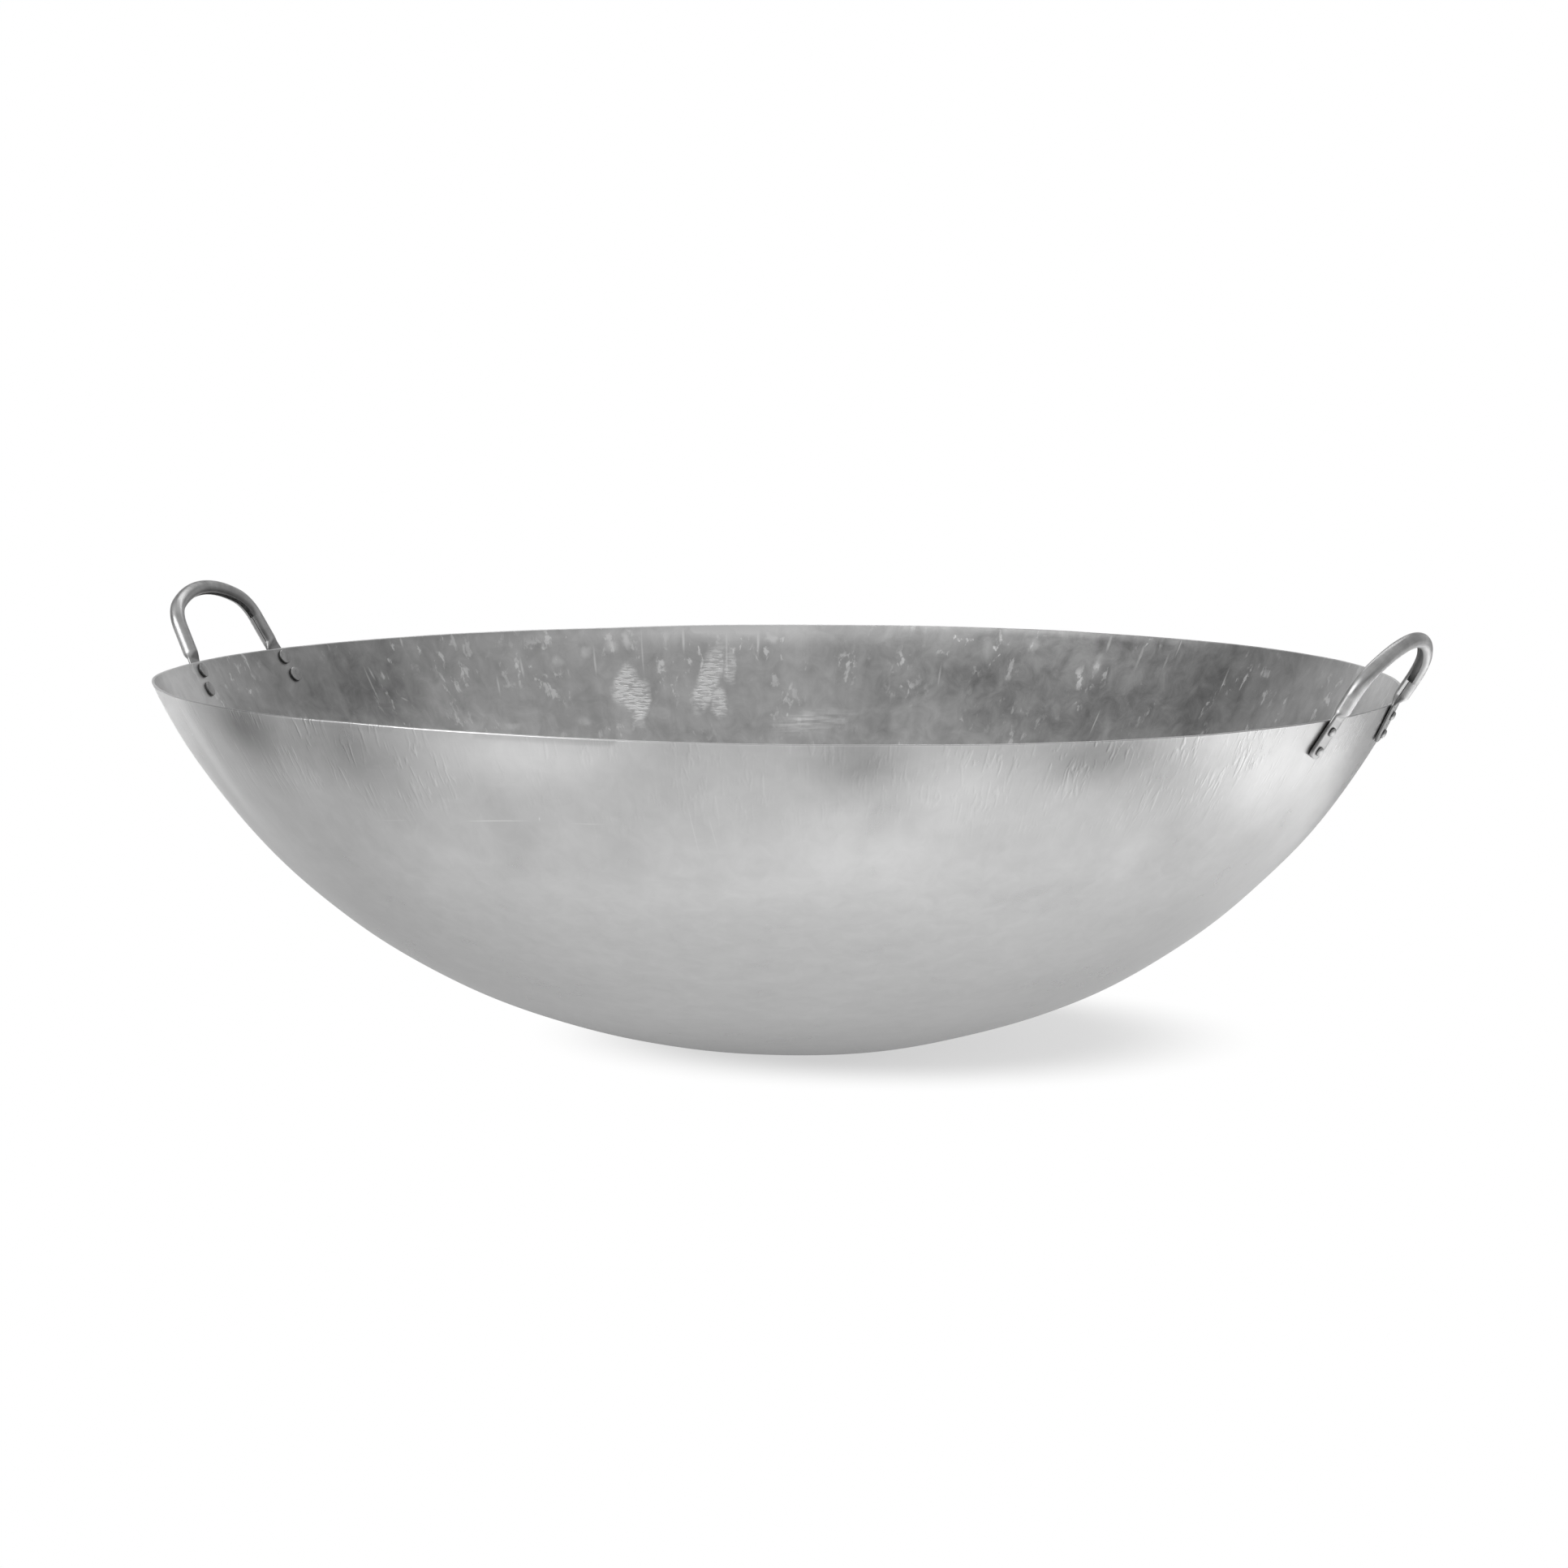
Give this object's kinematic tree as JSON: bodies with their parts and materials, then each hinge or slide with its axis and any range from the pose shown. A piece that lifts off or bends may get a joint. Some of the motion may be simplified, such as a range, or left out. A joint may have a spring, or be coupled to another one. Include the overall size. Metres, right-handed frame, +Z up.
{
  "type": "wok",
  "caption": "Large round-bottomed wok: a beaten steel bowl with loop handles rolled from sheet steel, their pressed feet riveted to the outside of the wall.",
  "frame": {"origin": "on the standing surface, under the middle of the bowl", "axes": "+Z up out of the bowl; +X through the middle of the handle that the picture shows on the right; +Y to the left of that handle, seen from inside the bowl"},
  "size_m": [0.9838, 0.914, 0.328],
  "materials": {
    "bowl_steel": "beaten carbon steel sheet, ground and brushed to a satin grey",
    "handle_steel": "rolled steel sheet, smooth and half polished",
    "rivet_steel": "plain steel, smooth heads"
  },
  "bodies": {
    "root": {"bowl": "bowl_steel", "handle_right": "handle_steel", "handle_left": "handle_steel", "rivet_right_front_upper": "rivet_steel", "rivet_right_front_lower": "rivet_steel", "rivet_right_back_upper": "rivet_steel", "rivet_right_back_lower": "rivet_steel", "rivet_left_front_upper": "rivet_steel", "rivet_left_front_lower": "rivet_steel", "rivet_left_back_upper": "rivet_steel", "rivet_left_back_lower": "rivet_steel"}
  },
  "joints": []
}
